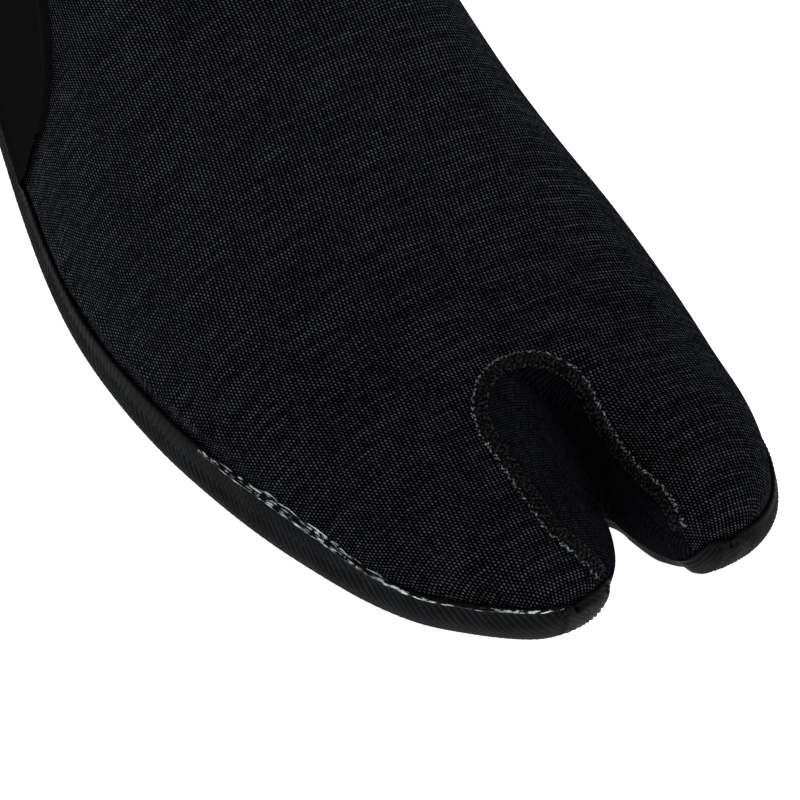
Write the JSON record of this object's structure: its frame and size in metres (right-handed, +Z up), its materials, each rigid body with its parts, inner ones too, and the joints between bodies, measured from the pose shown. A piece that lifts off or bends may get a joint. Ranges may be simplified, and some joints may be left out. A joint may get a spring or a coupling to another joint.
{
  "type": "split-toe wetsuit boot",
  "caption": "Right split-toe neoprene wetsuit boot with a sewn gusset between big toe and the other toes and a thin wrapped rubber sole.",
  "frame": {"origin": "on the floor under the middle of the heel seat, on the sole's flat heel", "axes": "+X forward to the toes, +Y to the big toe's side, +Z up"},
  "size_m": [0.2837, 0.1114, 0.1963],
  "materials": {
    "knit_neoprene": "black knitted jersey face on neoprene foam",
    "gusset_knit": "finer black knit on thin neoprene",
    "seam_thread": "black thread of a flat raised seam",
    "lining_knit": "dark knitted lining",
    "sole_rubber": "matte dark grey rubber with fine ridges",
    "counter_rubber": "smooth matte rubber skin"
  },
  "bodies": {
    "root": {"upper": "knit_neoprene", "toe_gusset": "gusset_knit", "split_seam": "seam_thread", "insole": "lining_knit", "outsole": "sole_rubber", "heel_counter": "counter_rubber"}
  },
  "joints": []
}
